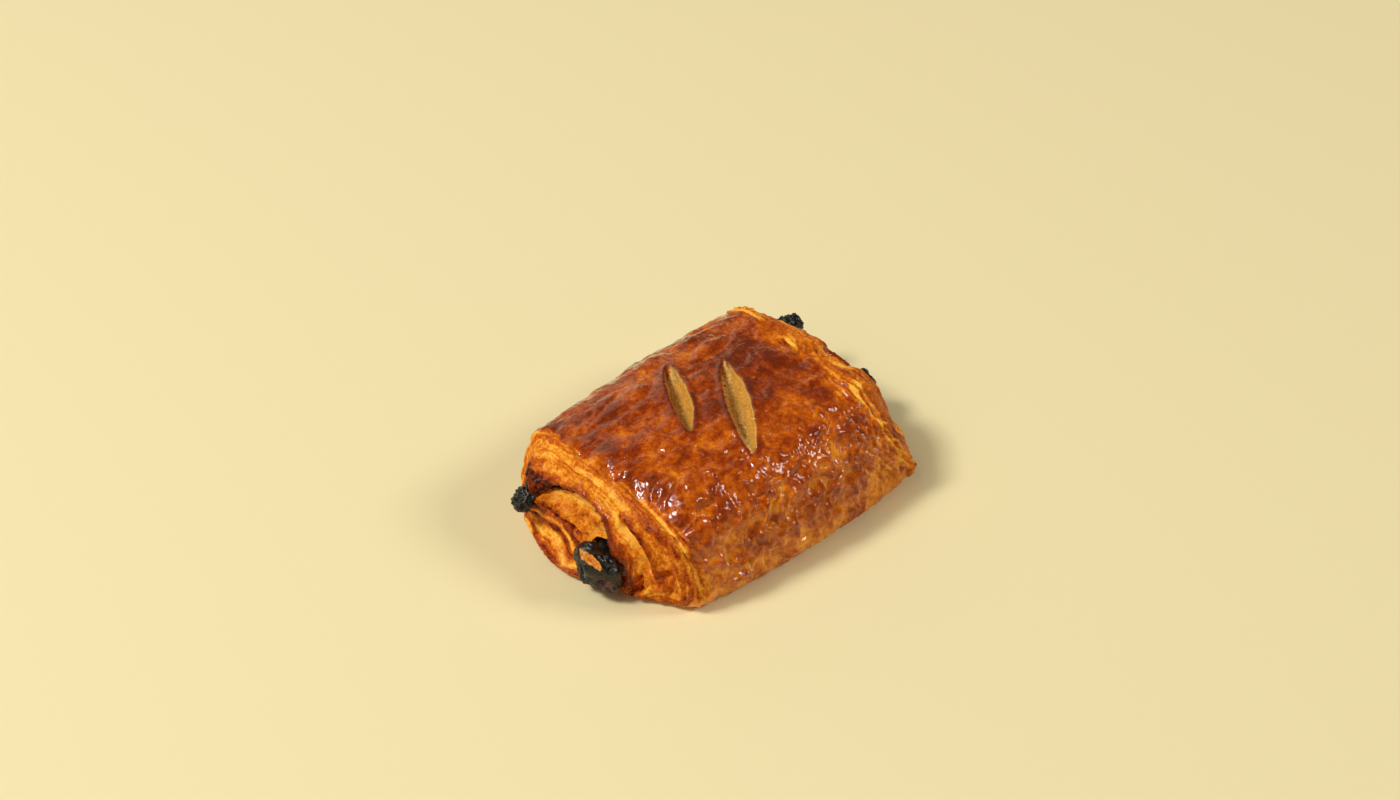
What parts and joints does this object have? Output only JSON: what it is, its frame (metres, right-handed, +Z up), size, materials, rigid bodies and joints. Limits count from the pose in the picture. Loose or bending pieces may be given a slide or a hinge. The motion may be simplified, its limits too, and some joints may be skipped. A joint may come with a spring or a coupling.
{
  "type": "pain au chocolat",
  "caption": "Baked pastry: laminated dough rolled round two sticks of dark chocolate, with a glazed top, slashes in it and open layered ends.",
  "frame": {"origin": "on the plane the pastry rests on, under the middle of its bounding box", "axes": "+X along the roll and its two chocolate sticks, +Y across the roll towards the lobe with the rear stick, +Z up"},
  "size_m": [0.1116, 0.0726, 0.0355],
  "materials": {
    "pastry": null,
    "chocolate": null
  },
  "bodies": {
    "root": {"pastry": "pastry", "chocolate_stick_front": "chocolate", "chocolate_stick_rear": "chocolate"}
  },
  "joints": []
}
